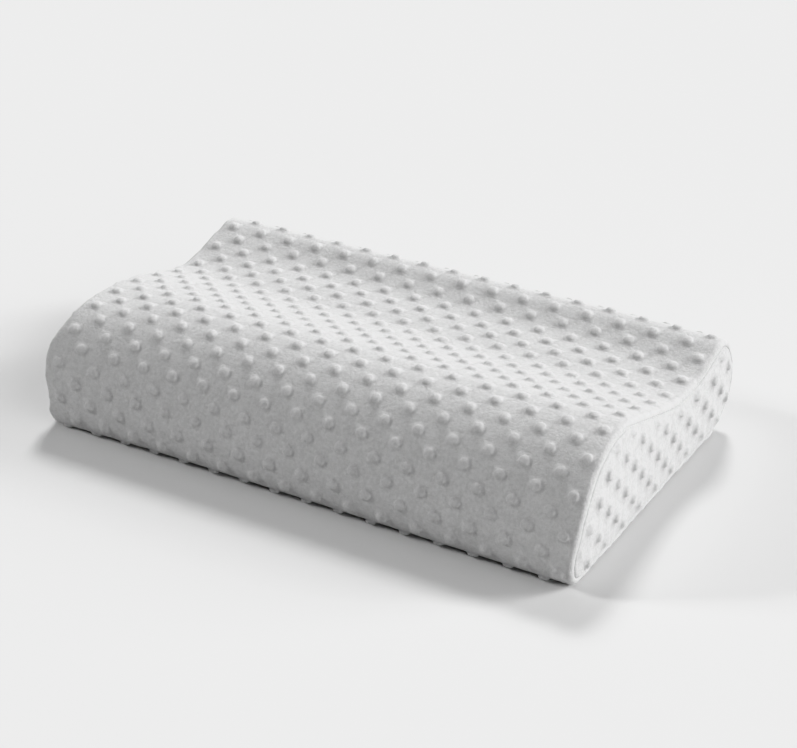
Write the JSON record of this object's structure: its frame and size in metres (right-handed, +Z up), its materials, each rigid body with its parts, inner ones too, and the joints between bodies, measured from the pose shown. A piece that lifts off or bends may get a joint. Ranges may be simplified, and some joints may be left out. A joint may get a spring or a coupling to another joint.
{
  "type": "bed pillow",
  "caption": "Contour bed pillow with a high and a low lobe: foam core, jersey liner and a bubble-velour cover closed by a zip at the lower back.",
  "frame": {"origin": "centre of the underside, at the middle of the length and of the depth", "axes": "+X along the length, -Y towards the high lobe's front, +Z up"},
  "size_m": [0.5, 0.3, 0.102],
  "materials": {
    "foam": "matte",
    "jersey": "matte",
    "thread": "matte",
    "velour": "matte",
    "seam_edge": "matte",
    "ribbon": "matte",
    "tape": "matte",
    "coil": "satin",
    "zip_metal": "satin"
  },
  "bodies": {
    "pillow": {"foam_core": "foam", "liner_sleeve": "jersey", "liner_end_left": "jersey", "liner_end_right": "jersey", "liner_seam_left": "thread", "liner_seam_right": "thread", "cover_wrap": "velour", "cover_end_left": "velour", "cover_end_right": "velour", "cover_seam_left": "seam_edge", "cover_seam_right": "seam_edge", "closing_seam_left": "seam_edge", "closing_seam_right": "seam_edge", "care_label": "ribbon", "zip_tape_upper": "tape", "zip_tape_lower": "tape", "zip_coil_upper": "coil", "zip_coil_lower": "coil", "zip_stitching_upper": "thread", "zip_stitching_lower": "thread", "zip_top_stop_upper": "zip_metal", "zip_top_stop_lower": "zip_metal", "zip_bottom_stop": "zip_metal"},
    "slider": {"zip_slider": "zip_metal"},
    "pull": {"zip_pull": "zip_metal"}
  },
  "joints": [
    {"name": "zip_slide", "type": "slide", "parent": "pillow", "child": "slider", "axis": [-1, 0, 0], "range_m": [0, 0.3823], "deforming": ["zip_coil_upper", "zip_coil_lower"]},
    {"name": "pull_swing", "type": "hinge", "parent": "slider", "child": "pull", "pos_m": [0.1927, 0.14349, 0.0232], "axis": [0, -0.5, -0.866], "range_deg": [0, 180]}
  ]
}
